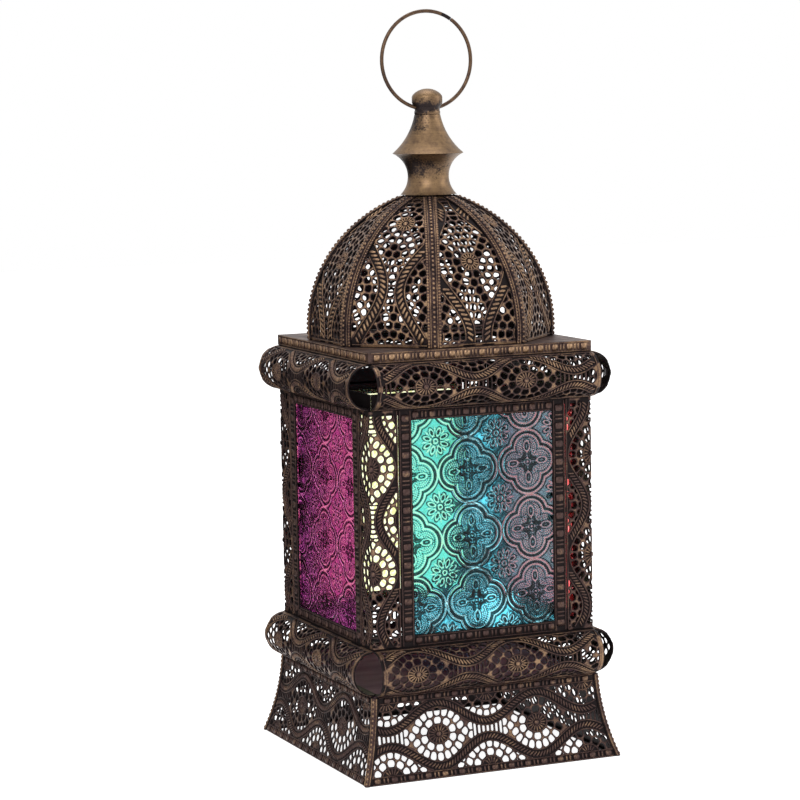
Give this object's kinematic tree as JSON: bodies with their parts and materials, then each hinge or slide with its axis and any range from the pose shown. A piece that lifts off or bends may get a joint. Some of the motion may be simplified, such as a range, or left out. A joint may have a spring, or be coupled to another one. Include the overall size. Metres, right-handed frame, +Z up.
{
  "type": "ramadan fanous lantern",
  "caption": "Square pierced-metal candle lantern with coloured glass panes, rolled edges, a flared skirt, a ribbed dome, a turned finial and a carrying ring.",
  "frame": {"origin": "centre of the base, on the surface the lantern stands on", "axes": "+Z up to the finial and ring, -Y out of the turquoise front pane, -X out of the magenta pane"},
  "size_m": [0.1526, 0.1526, 0.3993],
  "materials": {
    "aged_bronze": "antique bronze finish, dark in the hollows and rubbed gold-brown on raised edges",
    "rubbed_bronze": "brushed antique bronze with dark patches, satin",
    "bronze_wire": "satin bronze-coloured wire",
    "floor_bronze": "plain dull brown-grey",
    "zinc_steel": "dull plated steel",
    "turquoise_glass": "pressed glass with a quatrefoil relief",
    "magenta_glass": "pressed glass with a quatrefoil relief",
    "red_glass": "pressed glass with a quatrefoil relief",
    "yellow_glass": "pressed glass with a quatrefoil relief"
  },
  "bodies": {
    "lantern": {"finial_knob": "rubbed_bronze", "finial_bell": "rubbed_bronze", "finial_neck": "rubbed_bronze", "finial_stud": "zinc_steel", "finial_nut": "zinc_steel", "dome_crown": "aged_bronze", "dome_gore_1": "aged_bronze", "dome_gore_2": "aged_bronze", "dome_gore_3": "aged_bronze", "dome_gore_4": "aged_bronze", "dome_gore_5": "aged_bronze", "dome_gore_6": "aged_bronze", "dome_gore_7": "aged_bronze", "dome_gore_8": "aged_bronze", "dome_ribs": "aged_bronze", "roof_plate": "aged_bronze", "upper_roll_front": "aged_bronze", "upper_roll_left": "aged_bronze", "upper_roll_back": "aged_bronze", "upper_roll_right": "aged_bronze", "lower_roll_front": "aged_bronze", "lower_roll_left": "aged_bronze", "lower_roll_back": "aged_bronze", "lower_roll_right": "aged_bronze", "post_front_left": "aged_bronze", "post_front_right": "aged_bronze", "post_back_left": "aged_bronze", "post_back_right": "aged_bronze", "frame_front": "aged_bronze", "frame_left": "aged_bronze", "frame_right": "aged_bronze", "glass_front": "turquoise_glass", "glass_left": "magenta_glass", "glass_right": "red_glass", "clips_front": "aged_bronze", "clips_left": "aged_bronze", "clips_right": "aged_bronze", "floor_plate": "floor_bronze", "candle_cup": "floor_bronze", "cup_rivet": "zinc_steel", "skirt_front": "aged_bronze", "skirt_left": "aged_bronze", "skirt_back": "aged_bronze", "skirt_right": "aged_bronze", "skirt_corner_strips": "aged_bronze", "hinge_post_leaves": "aged_bronze", "hinge_pins": "zinc_steel", "latch_rivet": "zinc_steel"},
    "carrying_ring": {"hanging_ring": "bronze_wire"},
    "door": {"door_frame": "aged_bronze", "glass_back": "yellow_glass", "clips_back": "aged_bronze", "hinge_door_leaves": "aged_bronze"},
    "latch_leaf": {"latch": "aged_bronze"}
  },
  "joints": [
    {"name": "ring_swing", "type": "hinge", "parent": "lantern", "child": "carrying_ring", "pos_m": [0, 0, 0.34697], "axis": [1, 0, 0], "range_deg": [-155, 155]},
    {"name": "door_swing", "type": "hinge", "parent": "lantern", "child": "door", "pos_m": [0.0478, 0.0659, 0.13125], "axis": [0, 0, -1], "range_deg": [0, 165]},
    {"name": "latch_turn", "type": "hinge", "parent": "lantern", "child": "latch_leaf", "pos_m": [-0.0515, 0.06555, 0.15498], "axis": [0, -1, 0], "range_deg": [0, 90]}
  ]
}
